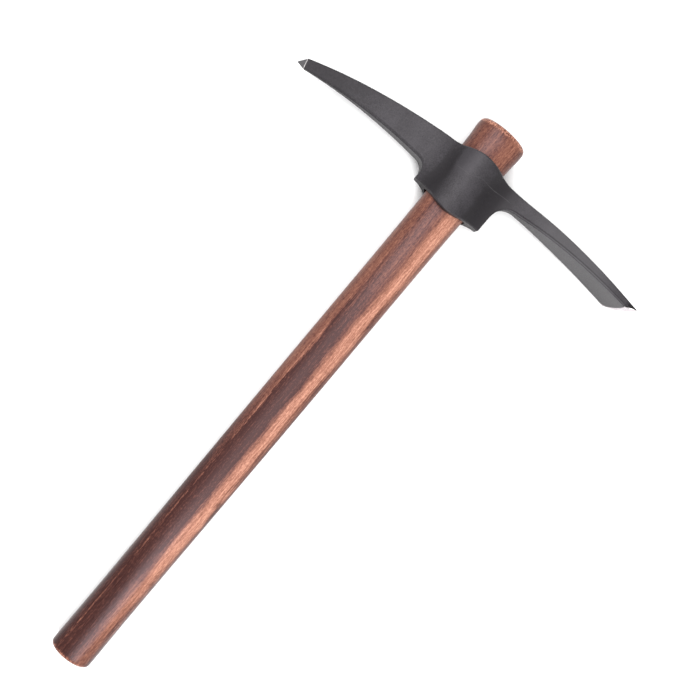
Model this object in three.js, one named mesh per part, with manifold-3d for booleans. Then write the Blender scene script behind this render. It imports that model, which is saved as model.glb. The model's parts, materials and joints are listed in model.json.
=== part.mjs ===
// A hand mattock: a forged head, with a pick and an adze, on a slip-fit wooden handle. It lies on its side.
// Millimetres. On the tool x runs from the butt to the top, y from the adze to the pick, z through its thickness.
import * as THREE from 'three';
import { mergeVertices } from 'three/addons/utils/BufferGeometryUtils.js';
import { ConvexHull } from 'three/addons/math/ConvexHull.js';
import Module from 'manifold-3d';

const wasm = await Module();
wasm.setup();

// Handle: an oval stick with rounded ends, from the butt up
const handleLength = 501;
const buttWidth = 33.3;
const waistWidth = 32.8;
const middleWidth = 34.1;
const neckWidth = 34.8;
const seatWidth = 38.7;
const flareWidth = 40.8;
const handleFlatness = 0.75;
const buttCornerRadius = 3.4;
const topCornerRadius = 4.4;
const endCrown = 0.9;
const endFlatRadius = 7;
const neckDrop = 24;
const flareDrop = 9;
const waistShare = 0.137;
const middleShare = 0.47;

// Where the head sits: from the butt to the ends of its lugs. Heights on the head start there
const headStation = 432.2;

// Collar: peaked cheeks round the eye, with a square lug under each arm
const lugReach = 30.2;
const lugCornerRadius = 1.5;
const lugEndHalfThickness = 5.7;
const collarHalfThickness = 21.8;
const collarFootDrop = 6.1;
const collarTopHeight = 42.7;
const flankDegrees = 50;
const flankFootReach = 21.1;
const flankFootHalfThickness = 8.8;
const lugShoulderShare = 0.6;
const peakShoulderShare = 0.35;

// Eye: a tapered oval hole. The handle fills it at the top, but for the clearance, and has more room at the foot
const fitClearance = 0.3;
const footClearance = 1.25;

// Pick: tapers in height and thickness to a ground point
const pickReach = 148.1;
const pickTipHeight = 8.6;
const pickTopHeight = 38.5;
const pickFootHeight = 12.7;
const pickHeelSetback = 6.5;
const pickHeelHeight = 7.2;
const pickBrowSetback = 4.5;
const pickBrowHeight = 14.9;
const pickRootHalfThickness = 9.95;
const pickPointHalfThickness = 2.2;
const pickBendShare = 0.637;
const pickBackRise = 32;
const pickBellyRise = 16;
const pickRootReach = 26;

// Adze: a blade across the handle, widening to a sharpened edge
const adzeReach = 156.5;
const adzeEdgeBow = 2.8;
const adzeCornerRadius = 1.8;
const adzeBevelLength = 10.5;
const adzeHalfWidth = 25.1;
const adzeNeckHalfThickness = 5.8;
const adzeTopHeight = 40.4;
const adzeFootHeight = 28;
const adzeArchHeight = 31.5;
const adzeBevelHeight = 25.7;
const adzeEdgeHeight = 29.1;
const adzeEdgeLand = 0.4;
const adzeBendShare = 0.57;
const flareLeadReach = 62;
const flareLeadHalfWidth = 4.1;
const flareTurnReach = 47;
const flareTurnHalfWidth = 18.4;

// Fillets where the lugs run up into the arms
const pickFilletLength = 10.5;
const pickFilletHeight = 9;
const adzeFilletLength = 16;
const adzeFilletHeight = 16;

// Fineness of the facets, and how far the cuts run past the metal
const handleSides = 36;
const handleRings = 26;
const cornerSteps = 4;
const curveSteps = 14;
const overrun = 4;

const hickoryDensity = 0.75;
const steelDensity = 7.85;

const hickory = new THREE.MeshStandardMaterial({ color: 0x6b3d2c, roughness: 0.42, metalness: 0 });
const blackenedSteel = new THREE.MeshStandardMaterial({ color: 0x4a4a4c, roughness: 0.48, metalness: 0.7 });

const alongAxis = new THREE.Vector3(1, 0, 0);
const acrossAxis = new THREE.Vector3(0, 1, 0);
const thicknessAxis = new THREE.Vector3(0, 0, 1);
const down = new THREE.Vector3(0, 0, -1);

// Where the pick's ground facets start, and the adze's bevel and the ends of its bowed edge
const pickHeelReach = pickReach - pickHeelSetback;
const pickBrowReach = pickReach - pickBrowSetback;
const adzeBevelReach = adzeReach - adzeBevelLength;
const adzeCornerReach = adzeReach - adzeEdgeBow;

// The handle is tightest in the eye at the top of the cheeks. Below, it draws in evenly to its neck
const seatStation = headStation + collarTopHeight;
const neckStation = headStation - neckDrop;
const footShare = (neckDrop - collarFootDrop) / (seatStation - neckStation);
const footWidth = THREE.MathUtils.lerp(neckWidth, seatWidth, footShare);

// A closed geometry as a solid that can be cut and joined
function solidFrom(geometry) {
  const bare = geometry.clone();
  bare.deleteAttribute('normal');
  bare.deleteAttribute('uv');
  const merged = mergeVertices(bare);
  const mesh = new wasm.Mesh({
    numProp: merged.attributes.position.itemSize,
    vertProperties: new Float32Array(merged.attributes.position.array),
    triVerts: new Uint32Array(merged.index.array),
  });
  return new wasm.Manifold(mesh);
}

function geometryFrom(solid) {
  const mesh = solid.getMesh();
  const geometry = new THREE.BufferGeometry();
  geometry.setAttribute('position', new THREE.BufferAttribute(mesh.vertProperties, mesh.numProp));
  geometry.setIndex(new THREE.BufferAttribute(mesh.triVerts, 1));
  geometry.computeVertexNormals();
  return geometry;
}

// A side outline, drawn in x and y, as a slab through the thickness
function sideSlab(outline, halfThickness) {
  const depth = halfThickness * 2;
  const geometry = new THREE.ExtrudeGeometry(outline, { depth, bevelEnabled: false, curveSegments: curveSteps });
  geometry.translate(0, 0, -halfThickness);
  return solidFrom(geometry);
}

// A plan outline, drawn in y and z, as a slab along x that is taller than the head
function planSlab(outline) {
  const depth = collarTopHeight + collarFootDrop + overrun * 2;
  const geometry = new THREE.ExtrudeGeometry(outline, { depth, bevelEnabled: false, curveSegments: curveSteps });
  geometry.applyMatrix4(new THREE.Matrix4().makeBasis(acrossAxis, thicknessAxis, alongAxis));
  geometry.translate(-collarFootDrop - overrun, 0, 0);
  return solidFrom(geometry);
}

// Half a plan outline, closed by its mirror image on the other side of the tool
function mirroredPlan(path) {
  const half = path.getPoints(curveSteps);
  const mirrored = half.map((point) => new THREE.Vector2(point.x, -point.y)).reverse();
  const points = [...half, ...mirrored];
  return new THREE.Shape(points.filter((point, i) => !point.equals(points[(i + 1) % points.length])));
}

// The handle's half outline, radius against height, from the axis at the butt to the axis at the top
function handleOutline() {
  const butt = new THREE.Path();
  butt.moveTo(0, 0);
  butt.lineTo(endFlatRadius, 0);
  butt.lineTo(buttWidth / 2 - buttCornerRadius, endCrown);
  butt.quadraticCurveTo(buttWidth / 2, endCrown, buttWidth / 2, endCrown + buttCornerRadius);
  const sides = new THREE.SplineCurve([
    new THREE.Vector2(buttWidth / 2, endCrown + buttCornerRadius),
    new THREE.Vector2(waistWidth / 2, handleLength * waistShare),
    new THREE.Vector2(middleWidth / 2, handleLength * middleShare),
    new THREE.Vector2(neckWidth / 2, neckStation),
    new THREE.Vector2(seatWidth / 2, seatStation),
    new THREE.Vector2(flareWidth / 2, handleLength - flareDrop),
    new THREE.Vector2(flareWidth / 2, handleLength - endCrown - topCornerRadius),
  ]);
  const top = new THREE.Path();
  const rim = handleLength - endCrown;
  top.moveTo(flareWidth / 2, rim - topCornerRadius);
  top.quadraticCurveTo(flareWidth / 2, rim, flareWidth / 2 - topCornerRadius, rim);
  top.lineTo(endFlatRadius, handleLength);
  top.lineTo(0, handleLength);
  const sidePoints = sides.getPoints(handleRings).slice(1, -1);
  return [...butt.getPoints(cornerSteps), ...sidePoints, ...top.getPoints(cornerSteps)];
}

function makeHandle() {
  const geometry = new THREE.LatheGeometry(handleOutline(), handleSides);
  geometry.rotateZ(-Math.PI / 2);
  geometry.scale(1, 1, handleFlatness);
  const handle = new THREE.Mesh(geometry, hickory);
  handle.name = 'handle';
  handle.userData.density = hickoryDensity;
  return handle;
}

// One quarter of the collar's peaked rim, between a lug and the middle of the cheek
function rimToPeak(shape, lugHeight, lugSide, peakHeight) {
  shape.bezierCurveTo(
    lugHeight, lugSide * lugShoulderShare, peakHeight, lugSide * peakShoulderShare, peakHeight, 0,
  );
}

function rimToLug(shape, lugHeight, lugSide, peakHeight) {
  shape.bezierCurveTo(
    peakHeight, lugSide * peakShoulderShare, lugHeight, lugSide * lugShoulderShare, lugHeight, lugSide,
  );
}

// The collar from its side, with the lugs and the fillets under the arms
function collarSide() {
  const pickWeb = lugReach + pickFilletLength;
  const adzeWeb = lugReach + adzeFilletLength;
  const footReach = lugReach - lugCornerRadius;
  const shape = new THREE.Shape();
  shape.moveTo(0, footReach);
  shape.quadraticCurveTo(0, lugReach, lugCornerRadius, lugReach);
  shape.lineTo(pickFootHeight - pickFilletHeight, lugReach);
  shape.quadraticCurveTo(pickFootHeight, lugReach, pickFootHeight, pickWeb);
  shape.lineTo(pickFootHeight + overrun, pickWeb);
  shape.lineTo(pickFootHeight + overrun, lugReach);
  shape.lineTo(pickTopHeight, lugReach);
  rimToPeak(shape, pickTopHeight, lugReach, collarTopHeight);
  rimToLug(shape, adzeTopHeight, -lugReach, collarTopHeight);
  shape.lineTo(adzeFootHeight + overrun, -lugReach);
  shape.lineTo(adzeFootHeight + overrun, -adzeWeb);
  shape.lineTo(adzeFootHeight, -adzeWeb);
  shape.quadraticCurveTo(adzeFootHeight, -lugReach, adzeFootHeight - adzeFilletHeight, -lugReach);
  shape.lineTo(lugCornerRadius, -lugReach);
  shape.quadraticCurveTo(0, -lugReach, 0, -footReach);
  rimToPeak(shape, 0, -footReach, -collarFootDrop);
  rimToLug(shape, 0, footReach, -collarFootDrop);
  return shape;
}

// Half the collar in plan: round over the eye, then drawn in to the lugs
function collarPlan() {
  const flank = THREE.MathUtils.degToRad(flankDegrees);
  const flankReach = collarHalfThickness * Math.sin(flank);
  const flankHalfThickness = collarHalfThickness * Math.cos(flank);
  const path = new THREE.Path();
  path.moveTo(-lugReach - adzeFilletLength, lugEndHalfThickness);
  path.lineTo(-lugReach, lugEndHalfThickness);
  path.quadraticCurveTo(-flankFootReach, flankFootHalfThickness, -flankReach, flankHalfThickness);
  path.absarc(0, 0, collarHalfThickness, Math.PI / 2 + flank, Math.PI / 2 - flank, true);
  path.quadraticCurveTo(flankFootReach, flankFootHalfThickness, lugReach, lugEndHalfThickness);
  path.lineTo(lugReach + pickFilletLength, lugEndHalfThickness);
  return mirroredPlan(path);
}

function collarSolid() {
  return sideSlab(collarSide(), collarHalfThickness + overrun).intersect(planSlab(collarPlan()));
}

// The pick from its side: a long bowed back, a hollow belly and the ground point
function pickSide() {
  const bend = pickReach * pickBendShare;
  const shape = new THREE.Shape();
  shape.moveTo(pickFootHeight, 0);
  shape.lineTo(pickFootHeight, lugReach + pickFilletLength);
  shape.quadraticCurveTo(pickBellyRise, bend, pickHeelHeight, pickHeelReach);
  shape.lineTo(pickTipHeight, pickReach);
  shape.lineTo(pickBrowHeight, pickBrowReach);
  shape.quadraticCurveTo(pickBackRise, bend, pickTopHeight, lugReach);
  shape.lineTo(pickTopHeight, 0);
  return shape;
}

// Half the pick in plan, from the cheek's flank to the point
function pickPlan() {
  const flank = THREE.MathUtils.degToRad(flankDegrees);
  const path = new THREE.Path();
  path.moveTo(0, pickRootHalfThickness);
  path.lineTo(collarHalfThickness * Math.sin(flank), collarHalfThickness * Math.cos(flank));
  path.quadraticCurveTo(flankFootReach, pickRootHalfThickness, pickRootReach, pickRootHalfThickness);
  path.lineTo(pickBrowReach, pickPointHalfThickness);
  path.lineTo(pickReach, 0);
  return mirroredPlan(path);
}

function pickSolid() {
  return sideSlab(pickSide(), collarHalfThickness + overrun).intersect(planSlab(pickPlan()));
}

// The adze from its side: a straight back that bends down, an arched belly and the sharpening bevel
function adzeSide() {
  const bend = adzeReach * adzeBendShare;
  const shape = new THREE.Shape();
  shape.moveTo(adzeFootHeight, 0);
  shape.lineTo(adzeFootHeight, -lugReach - adzeFilletLength);
  shape.quadraticCurveTo(adzeArchHeight, -bend, adzeBevelHeight, -adzeBevelReach);
  shape.lineTo(adzeEdgeHeight, -adzeReach);
  shape.lineTo(adzeEdgeHeight + adzeEdgeLand, -adzeReach);
  shape.quadraticCurveTo(adzeTopHeight, -bend, adzeTopHeight, -lugReach);
  shape.lineTo(adzeTopHeight, 0);
  return shape;
}

// Half the adze in plan: a thin neck, the flare, a rounded corner and half the bowed cutting edge
function adzePlan() {
  const path = new THREE.Path();
  path.moveTo(0, adzeNeckHalfThickness);
  path.lineTo(-lugReach, adzeNeckHalfThickness);
  path.bezierCurveTo(
    -flareLeadReach, flareLeadHalfWidth, -flareTurnReach, flareTurnHalfWidth,
    -adzeCornerReach + adzeCornerRadius, adzeHalfWidth,
  );
  path.quadraticCurveTo(-adzeCornerReach, adzeHalfWidth, -adzeCornerReach, adzeHalfWidth - adzeCornerRadius);
  path.quadraticCurveTo(-adzeReach, adzeHalfWidth / 2, -adzeReach, 0);
  return mirroredPlan(path);
}

function adzeSolid() {
  return sideSlab(adzeSide(), adzeHalfWidth + overrun).intersect(planSlab(adzePlan()));
}

// The eye follows the handle's width at its seat and at its foot, with the clearance there, in one even taper
function eyeCutter() {
  const topWidth = seatWidth + fitClearance * 2;
  const topThickness = seatWidth * handleFlatness + fitClearance * 2;
  const bottomWidth = footWidth + footClearance * 2;
  const height = collarTopHeight + collarFootDrop;
  const taper = (topWidth - bottomWidth) / height;
  const upperShare = (topWidth + taper * overrun) / topWidth;
  const lowerShare = (bottomWidth - taper * overrun) / topWidth;
  const length = height + overrun * 2;
  const geometry = new THREE.CylinderGeometry(upperShare / 2, lowerShare / 2, length, handleSides);
  geometry.rotateZ(-Math.PI / 2);
  geometry.scale(1, topWidth, topThickness);
  geometry.translate(length / 2 - collarFootDrop - overrun, 0, 0);
  return solidFrom(geometry);
}

function makeHead() {
  const forging = collarSolid().add(pickSolid()).add(adzeSolid());
  const head = new THREE.Mesh(geometryFrom(forging.subtract(eyeCutter())), blackenedSteel);
  head.name = 'head';
  head.userData.density = steelDensity;
  head.position.x = headStation;
  return head;
}

// The balance point of a group of meshes, from the signed tetrahedra under their triangles
function balancePoint(tool) {
  const moment = new THREE.Vector3();
  const corners = [new THREE.Vector3(), new THREE.Vector3(), new THREE.Vector3()];
  let mass = 0;
  tool.updateMatrixWorld(true);
  for (const mesh of tool.children) {
    const { position } = mesh.geometry.attributes;
    const { index } = mesh.geometry;
    for (let i = 0; i < index.count; i += corners.length) {
      corners.forEach((corner, j) => {
        corner.fromBufferAttribute(position, index.getX(i + j)).applyMatrix4(mesh.matrixWorld);
      });
      const [a, b, c] = corners;
      const weight = mesh.userData.density * a.dot(b.clone().cross(c));
      moment.addScaledVector(a.clone().add(b).add(c), weight / 4);
      mass += weight;
    }
  }
  return moment.divideScalar(mass);
}

// The outward normal of the flat side that the tool comes to rest on: the hull facet under its balance point
function restingNormal(tool) {
  const hull = new ConvexHull().setFromObject(tool);
  const centre = balancePoint(tool);
  const drop = (face) => -face.distanceToPoint(centre) / face.normal.dot(down);
  const below = hull.faces.filter((face) => face.normal.dot(down) > 0);
  return below.reduce((best, face) => (drop(face) < drop(best) ? face : best)).normal;
}

// The tool turned until it lies on that side, with the middle of its box over the origin
function layDown(tool) {
  const lying = new THREE.Group();
  lying.quaternion.setFromUnitVectors(restingNormal(tool), down);
  lying.add(tool);
  lying.updateMatrixWorld(true);
  const box = new THREE.Box3().setFromObject(lying, true);
  const centre = box.getCenter(new THREE.Vector3());
  lying.position.set(-centre.x, -centre.y, -box.min.z);
  return lying;
}

const tool = new THREE.Group();
tool.add(makeHead(), makeHandle());

const mattock = new THREE.Group();
mattock.add(layDown(tool));

export default mattock;
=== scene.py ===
# Looks of a pick mattock: a forged, blackened head on a burnt and lacquered hickory handle.
# Metres. On the tool x runs from the butt to the top, y from the adze to the pick, z through its thickness.
import json
import math
from bisect import bisect_left

import bmesh
import bpy
from mathutils import Matrix, Vector
from mathutils.geometry import delaunay_2d_cdt


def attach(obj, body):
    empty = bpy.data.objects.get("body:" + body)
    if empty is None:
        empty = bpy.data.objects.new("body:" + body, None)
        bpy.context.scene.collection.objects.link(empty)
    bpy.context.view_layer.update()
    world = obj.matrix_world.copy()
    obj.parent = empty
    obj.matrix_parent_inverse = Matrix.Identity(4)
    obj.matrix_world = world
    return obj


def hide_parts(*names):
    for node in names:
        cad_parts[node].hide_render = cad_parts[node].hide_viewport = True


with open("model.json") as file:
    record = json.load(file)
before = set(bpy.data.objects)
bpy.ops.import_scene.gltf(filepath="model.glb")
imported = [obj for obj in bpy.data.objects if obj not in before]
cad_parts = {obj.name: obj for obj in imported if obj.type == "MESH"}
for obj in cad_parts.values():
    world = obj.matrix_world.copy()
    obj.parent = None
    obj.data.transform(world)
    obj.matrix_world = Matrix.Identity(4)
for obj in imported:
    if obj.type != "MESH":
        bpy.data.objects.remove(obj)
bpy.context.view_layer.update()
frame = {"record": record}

# Handle, as the frame's model has it
BUTT_WIDTH = 0.0333
WAIST_WIDTH = 0.0328
MIDDLE_WIDTH = 0.0341
NECK_WIDTH = 0.0348
SEAT_WIDTH = 0.0387
FLARE_WIDTH = 0.0408
FLATNESS = 0.75
BUTT_CORNER_RADIUS = 0.0034
TOP_CORNER_RADIUS = 0.0044
END_CROWN = 0.0009
END_FLAT_RADIUS = 0.007
NECK_DROP = 0.024
FLARE_DROP = 0.009
WAIST_SHARE = 0.137
MIDDLE_SHARE = 0.47

# Head: from the butt to the ends of its lugs. Heights on the head start there
HEAD_STATION = 0.4322
LUG_REACH = 0.0302
LUG_CORNER_RADIUS = 0.0015
LUG_HALF_THICKNESS = 0.0057
COLLAR_HALF_THICKNESS = 0.0218
COLLAR_FOOT_DROP = 0.0061
COLLAR_TOP_HEIGHT = 0.0427
FLANK_DEGREES = 50
FLANK_FOOT_REACH = 0.0211
FLANK_FOOT_HALF_THICKNESS = 0.0088
LUG_SHOULDER_SHARE = 0.6
PEAK_SHOULDER_SHARE = 0.35

# Eye
FIT_CLEARANCE = 0.0003
FOOT_CLEARANCE = 0.00125
MOUTH_ROUNDING = 0.0006

# Pick
PICK_REACH = 0.14809
PICK_TIP_HEIGHT = 0.0086
PICK_TOP_HEIGHT = 0.0385
PICK_FOOT_HEIGHT = 0.0127
PICK_HEEL_REACH = 0.1416
PICK_HEEL_HEIGHT = 0.0072
PICK_BROW_REACH = 0.1436
PICK_BROW_HEIGHT = 0.0149
PICK_ROOT_REACH = 0.026
PICK_ROOT_HALF_THICKNESS = 0.00995
PICK_POINT_HALF_THICKNESS = 0.0022
PICK_BEND_SHARE = 0.637
PICK_BACK_RISE = 0.032
PICK_BELLY_RISE = 0.016
PICK_FILLET_LENGTH = 0.0105
PICK_FILLET_HEIGHT = 0.009
PICK_BLEND_FOOT = 0.003
PICK_BLEND_HEIGHT = 0.013

# Adze. Its reaches are those of the ends of the cutting edge, which bows out between them
ADZE_CORNER_REACH = 0.15439
ADZE_EDGE_BOW = 0.0021
ADZE_BOW_START = 0.11
ADZE_CORNER_RADIUS = 0.0012
ADZE_BEVEL_REACH = 0.146
ADZE_HALF_WIDTH = 0.0251
ADZE_TOP_HEIGHT = 0.0404
ADZE_FOOT_HEIGHT = 0.028
ADZE_ARCH_HEIGHT = 0.0315
ADZE_BEVEL_HEIGHT = 0.0257
ADZE_EDGE_HEIGHT = 0.0291
ADZE_EDGE_LAND = 0.0004
ADZE_BEND_SHARE = 0.58
ADZE_FILLET_LENGTH = 0.016
ADZE_FILLET_HEIGHT = 0.016
FLARE_LEAD_REACH = 0.062
FLARE_LEAD_HALF_WIDTH = 0.0041
FLARE_TURN_REACH = 0.047
FLARE_TURN_HALF_WIDTH = 0.0184
FLARE_SOFTENING = 0.003

# Dressed edges of the forging: how far in each starts, how deep it goes, and its shape between the two
PICK_BEVEL = 0.0024
PICK_BEVEL_DEPTH = 0.0016
PICK_BEVEL_SHARES = ((0, 0), (0.12, 0.03), (0.28, 0.15), (0.54, 0.42), (0.8, 0.7), (0.94, 0.88), (1, 1))
ADZE_BEVEL = 0.0021
ADZE_BEVEL_DEPTH = 0.0015
ADZE_BEVEL_SHARES = ((0, 0), (0.06, 0.06), (0.38, 0.56), (0.48, 0.6), (0.82, 0.64), (0.93, 0.78), (1, 1))
TOP_ROUNDING = 0.0009
RIM_ROUNDING = 0.0011
LUG_ROUNDING = 0.0008
HEIGHT_LIMIT_SHARE = 0.3
THICKNESS_LIMIT_SHARE = 0.4
END_LIMIT_SHARE = 0.5
CREASE_SUPPORT = 0.00012
CRISP_DEGREES = 25

# Grinding: the blunt end of the pick's point, and how far the adze's bevel runs back at its two corners.
# It runs further back at the far corner, over the span in millimetres of the tool's own z
TIP_HALF_HEIGHT = 0.0004
TIP_THICKNESS_SHARE = 0.16
CORNER_GRIND = 0.0009
CORNER_GRIND_POWER = 8
FAR_CORNER_GRIND = 3
FAR_CORNER_SPAN = (-17, -26)
UNGROUND = -0.005

# Fineness of the meshes
HANDLE_SIDES = 96
END_STEPS = 4
END_CORNER_STEPS = 16
SPAN_STEPS = 36
CORNER_STEPS = 8
ARM_STEPS = 70
FILLET_STEPS = 16
RIM_STEPS = 9
EYE_STEPS = 64
BEVEL_STEPS = 12
FACET_STEPS = 6
CREASE_STEPS = 9
ARC_STEPS = 6
STRIP_STEPS = 20
BORE_STEPS = 8
PLAN_STEPS = 120
FACE_SPACING = 0.0013
FACE_JOIN_ANGLE = 0.1
SHAPE_JOIN_ANGLE = 0.8
MERGE_DISTANCE = 0.000004
CDT_TOLERANCE = 0.0000001

# How far the tool is rolled about the handle, so that it lies on the adze's corner
ROLL_DEGREES = -0.96392

# Camera, in the tool's own axes
CAMERA_EYE = (0.30823, 0.05494, 0.67916)
CAMERA_AIM = (0.30573, -0.01479, 0)
CAMERA_TILT_DEGREES = 40.11
CAMERA_LENS = 47.571

# Floor and light
FLOOR_REACH = 12
FLOOR_COLOUR = (0.93, 0.93, 0.93, 1)
FLOOR_ROUGHNESS = 0.9
FLOOR_FADE = (0.6, 1.2)
WHITE = (1, 1, 1, 1)
ROOM_STRENGTH = 0.1
LAMP_ENERGY = 78
LAMP_LENGTH = 3.4
LAMP_WIDTH = 0.85
LAMP_PLACE = (-0.22, -0.07, 1.6)
LAMP_TURN_DEGREES = 47

# The forging's flash line on the cheeks, in millimetres along the handle and from its axis
FLASH_STATIONS = (456.4, 460.4)
FLASH_STEP_RUN = (4, -8)
FLASH_CLIMB = 3.4
FLASH_CLIMB_RUN = (-12, -33)
FLASH_ENDS = (-31, 12)
FLASH_FADE = 6
FLASH_HALF_WIDTH = 0.4

# Patterns of the finishes: the size of their grain in millimetres along, across and through the tool
SCALE_GRAIN = {"sizes": (0.8, 0.8, 0.8), "detail": 5, "roughness": 0.65}
SCALE_SPECKLE = {"sizes": (1.3, 1.3, 1.3), "detail": 3}
SCALE_CLOUD = {"sizes": (22, 22, 22), "detail": 5, "roughness": 0.6}
FORGED_SWELL = {"sizes": (16, 16, 16), "detail": 2}
SCRATCHES = {"sizes": (0.3, 14, 5), "detail": 2}
GRIND_LINES = {"sizes": (14, 14, 0.5), "detail": 3}
FIBRES = {"sizes": (11, 0.6, 0.6), "detail": 5, "roughness": 0.7}
PORES = {"sizes": (5, 0.7, 0.7), "detail": 3, "roughness": 0.6}
GRIT = {"sizes": (1.9, 0.9, 0.9), "detail": 3, "roughness": 0.6}
STREAKS = {"sizes": (55, 1.5, 1.5), "detail": 4, "roughness": 0.65, "distortion": 0.3}
FLAMES = {"sizes": (45, 7, 7), "detail": 4, "roughness": 0.65, "distortion": 0.6}
FLECKS = {"sizes": (1.6, 1.1, 1.1), "detail": 3, "roughness": 0.6}

# Relief of the patterns, in millimetres
GRAIN_RELIEF = 0.1
FLASH_RELIEF = 0.1
SWELL_RELIEF = 0.2
GRIND_RELIEF = 0.04
GRIT_RELIEF = 0.1

# Colours and sheen of the steel
DARK_SCALE = (0.005, 0.0042, 0.0052, 1)
LIGHT_SCALE = (0.0245, 0.0224, 0.0256, 1)
# The next colour is that of worn scale, and of the painted light on the edges and the adze's faces
RUBBED_AND_LIT_SCALE = (0.058, 0.056, 0.059, 1)
POINT_SCALE = (0.062, 0.06, 0.063, 1)
DARK_GRIND = (0.24, 0.222, 0.22, 1)
BRIGHT_GRIND = (0.72, 0.69, 0.685, 1)
STEEL_SHEEN = (1, 0.95, 1, 1)
STEEL_REFLECTION = 0.34
GROUND_ROUGHNESS = 0.3

# Marks of the steel. A run holds where a mark starts and ends, on its pattern or in millimetres on the tool,
# and then its values at the two, unless they are 0 and 1. A swing or a wander is how far a pattern moves a
# tone or a place
GRAIN_SWING = 1.3
SCALE_TONE_RUN = (0.2, 0.8)
SATIN_RUN = (0.2, 0.8, 0.5, 0.6)
GRIND_TONE_RUN = (0.35, 0.65)
GRIND_WANDER = 0.5
GRIND_START_RUN = (0.2, 0.4)
POINT_WANDER = 0.4
POINT_START_RUN = (0.1, 0.2)
POINT_LINE = (0.2, 0.62)
POINT_LINE_FADE = 0.12
POINT_LINE_SHARE = 0.7
SCRATCH_RUN = (0.72, 0.8, 0, 0.7)
# Pale edges: partly wear, partly a painted highlight along them
BURNISH_AND_HIGHLIGHT_RUN = (0.45, 0.7, 0.1, 0.45)
# Painted light on the adze's faces
ADZE_PAINTED_LIGHT_RUN = (-40, -80, 0, 0.5)
ADZE_PAINTED_LIGHT_WIDTH_RUN = (23.5, 21.5)
FLASH_CLOUD_RUN = (0.35, 0.6, 0.3, 0.8)
FLASH_SIDE_RUN = (-4, -14, 0.4, 1)
CORNER_REACH_RUN = (-144, -147.5)
CORNER_WIDTH_RUN = (19, 21.5)
CORNER_SPECKLE_RUN = (0.38, 0.46)
CORNER_FLECK_DULLNESS = 0.4
# Painted shade in the hollows by the cheek and at the pick's end, and a painted highlight on the cheek's top
PICK_PAINTED_SHADE = (18, 20)
PICK_PAINTED_SHADE_FADE = 6
PICK_PAINTED_SHADE_RUN = (456, 476, 0.6, 0.2)
ADZE_PAINTED_SHADE_RUN = (-11, -18, 0, 0.6)
ADZE_PAINTED_SHADE_END_RUN = (-48, -26)
CHEEK_PAINTED_HIGHLIGHT = (6, 12)
CHEEK_PAINTED_HIGHLIGHT_FADE = 6
CHEEK_PAINTED_HIGHLIGHT_RUN = (450, 462, 0, -0.4)
PICK_END_PAINTED_SHADE_RUN = (60, 125, 0, 0.3)
PICK_END_DULL_RUN = (60, 140, 0, 0.1)
FOLD_RUN = (14, 19, 0, 0.2)
FOLD_END_RUN = (38, 22)

# Colours of the wood by their tone, from charred to bare, and its sheen
WOOD_COLOURS = (
    (0.0, (0.027, 0.0065, 0.0045, 1)),
    (0.2, (0.098, 0.0345, 0.0245, 1)),
    (0.4, (0.188, 0.075, 0.049, 1)),
    (0.6, (0.33, 0.145, 0.097, 1)),
    (0.8, (0.54, 0.266, 0.186, 1)),
    (1.0, (0.72, 0.38, 0.27, 1)),
)
WOOD_SHEEN = (1, 0.78, 0.84, 1)
WOOD_REFLECTION = 0.26
LACQUER_WEIGHT = 0.06
LACQUER_ROUGHNESS = 0.3

# Marks of the wood, as runs too. Its grip is polished by hands, and the burnt middle is duller
FIBRE_SWING = 0.75
GRIT_SWING = 0.65
STREAK_SWING = 0.3
RING_SWING = 0.035
DASH_RUN = (0.56, 0.7, 0, 0.18)
LACQUER_RUN = (0.2, 0.8, 0.24, 0.34)
GRIP_DULL_RUN = (60, 200, 0, 0.26)
NECK_DULL_RUN = (270, 420, 1, 0.45)
RING_HEART = (-21, -13)
RING_RADIANS = 2.9
RING_WANDER = 14
FLAME_WANDER = 10
STREAK_WANDER = 7
CHARRED_RUN = (220, 420, -0.13, 0.21)
CHARRED_SWING = 0.4
# Darker along the handle's middle line, between 205 and 265 mm
MIDDLE_DARKENING = (205, 265)
MIDDLE_DARKENING_FADE = 45
MIDDLE_DARKENING_RUN = (5, 1, 0, -0.1)
BAND_RUN = (0, 110, 0.34, 0.67)
BAND_TOP_RUN = (445, 480, 1, 0.57)
BAND_INNER_RUN = (1, -9)
BAND_OUTER_RUN = (-16, -11, 0.35, 1)
STRIP = (11, 17)
STRIP_FADE = 3
STRIP_RUN = (140, 290, 0, 0.34)
STRIP_TOP_RUN = (330, 480, 1, 0.74)
SEAM = (10.6, 10.9)
SEAM_FADE = 0.7
SEAM_WANDER = 2
SEAM_PORE_RUN = (0.42, 0.54, -0.1, 0.36)
SEAM_RUN = (400, 220)

# Ends of the handle. Over the middle span its values go from those of the butt to those of the top
MIDDLE_SPAN = (200, 300)
FACE_DEPTH_RUN = (2.4, 1.2)
FACE_INSET_RUN = (1, 4)
RIM_RUN = (5, 2)
TOP_RIM_EXTRA = 1.7
FLECK_RUN = (0.38, 0.58, 0.15, 0.7)
END_TONE = 0.34
END_FLAME_SWING = 0.35
END_RING_SWING = 0.09

# A Mix node's two inputs and its output, by the kind of its data
MIX_SOCKETS = {"FLOAT": (2, 3, 0), "VECTOR": (4, 5, 1), "RGBA": (6, 7, 2)}

MILLIMETRES = 1000


# The tool's own axes, from the flat faces at its two ends
def tool_frame():
    faces = {mount["name"]: Vector(mount["pos_m"]) for mount in frame["record"]["mounts"]}
    butt, top = faces["butt_face"], faces["top_face"]
    along = (top - butt).normalized()
    level = Vector((0, 0, 1)).cross(along).normalized()
    across = Matrix.Rotation(math.radians(ROLL_DEGREES), 3, along) @ level
    turn = Matrix((along, across, along.cross(across))).transposed()
    return Matrix.LocRotScale(butt, turn, None), (top - butt).length


TOOL, HANDLE_LENGTH = tool_frame()
SEAT_STATION = HEAD_STATION + COLLAR_TOP_HEIGHT
NECK_STATION = HEAD_STATION - NECK_DROP


def smooth(share):
    share = min(max(share, 0), 1)
    return share * share * (3 - 2 * share)


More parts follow.
